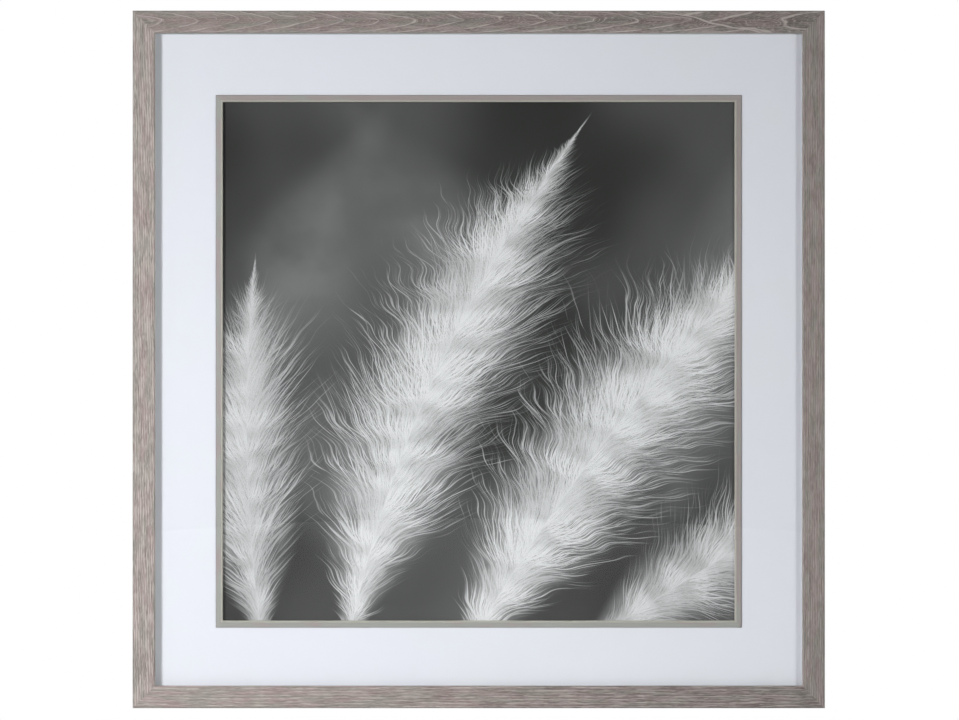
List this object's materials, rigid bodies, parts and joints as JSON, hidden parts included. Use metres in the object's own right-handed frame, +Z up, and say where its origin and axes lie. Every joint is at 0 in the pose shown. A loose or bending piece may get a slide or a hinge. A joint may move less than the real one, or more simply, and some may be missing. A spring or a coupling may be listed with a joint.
{
  "type": "framed art print",
  "caption": "Square wall-hung art print under glass, with a white mat, a wood fillet and a grey-washed oak frame; D-ring hangers on the back.",
  "frame": {"origin": "middle of the overall box: the frame with its bumpers", "axes": "-Y out of the picture's front, +Y into the wall, +Z up as it hangs, +X to the right as seen from the front"},
  "size_m": [0.889, 0.0388, 0.896],
  "materials": {
    "limed_oak": "grey-washed limed oak, fine straight grain, satin",
    "picture_glass": "clear picture glass",
    "spacer_plastic": "white plastic",
    "mat_white": "smooth white mat board",
    "fillet_wood": "plain taupe stain, satin",
    "print_paper": "semi-gloss monochrome print",
    "foam_board": "white paper-faced foam board",
    "hardboard": "brown hardboard",
    "v_nail_steel": "bright steel strip",
    "point_steel": "bright steel strip",
    "kraft_paper": "brown kraft paper",
    "zinc_plate": "zinc-plated steel",
    "bumper_rubber": "black rubber"
  },
  "bodies": {
    "frame": {"rail_left": "limed_oak", "rail_bottom": "limed_oak", "rail_right": "limed_oak", "rail_top": "limed_oak", "glazing": "picture_glass", "spacer_left": "spacer_plastic", "spacer_bottom": "spacer_plastic", "spacer_right": "spacer_plastic", "spacer_top": "spacer_plastic", "mat_board": "mat_white", "fillet_left": "fillet_wood", "fillet_bottom": "fillet_wood", "fillet_right": "fillet_wood", "fillet_top": "fillet_wood", "art_print": "print_paper", "mount_board": "foam_board", "backing_board": "hardboard", "v_nail_top_left_1": "v_nail_steel", "v_nail_top_left_2": "v_nail_steel", "v_nail_top_right_1": "v_nail_steel", "v_nail_top_right_2": "v_nail_steel", "v_nail_bottom_right_1": "v_nail_steel", "v_nail_bottom_right_2": "v_nail_steel", "v_nail_bottom_left_1": "v_nail_steel", "v_nail_bottom_left_2": "v_nail_steel", "point_left_1": "point_steel", "point_left_2": "point_steel", "point_left_3": "point_steel", "point_bottom_1": "point_steel", "point_bottom_2": "point_steel", "point_bottom_3": "point_steel", "point_right_1": "point_steel", "point_right_2": "point_steel", "point_right_3": "point_steel", "point_top_1": "point_steel", "point_top_2": "point_steel", "point_top_3": "point_steel", "dust_cover": "kraft_paper", "hanger_strap_left": "zinc_plate", "hanger_screw_left_1": "zinc_plate", "hanger_screw_left_2": "zinc_plate", "hanger_strap_right": "zinc_plate", "hanger_screw_right_1": "zinc_plate", "hanger_screw_right_2": "zinc_plate", "bumper_top_left": "bumper_rubber", "bumper_top_right": "bumper_rubber", "bumper_bottom_right": "bumper_rubber", "bumper_bottom_left": "bumper_rubber"},
    "ring_left": {"hanger_ring_left": "zinc_plate"},
    "ring_right": {"hanger_ring_right": "zinc_plate"}
  },
  "joints": [
    {"name": "ring_swing_left", "type": "hinge", "parent": "frame", "child": "ring_left", "pos_m": [-0.431, 0.01625, 0.224], "axis": [1, 0, 0], "range_deg": [0, 176]},
    {"name": "ring_swing_right", "type": "hinge", "parent": "frame", "child": "ring_right", "pos_m": [0.431, 0.01625, 0.224], "axis": [1, 0, 0], "range_deg": [0, 176]}
  ]
}
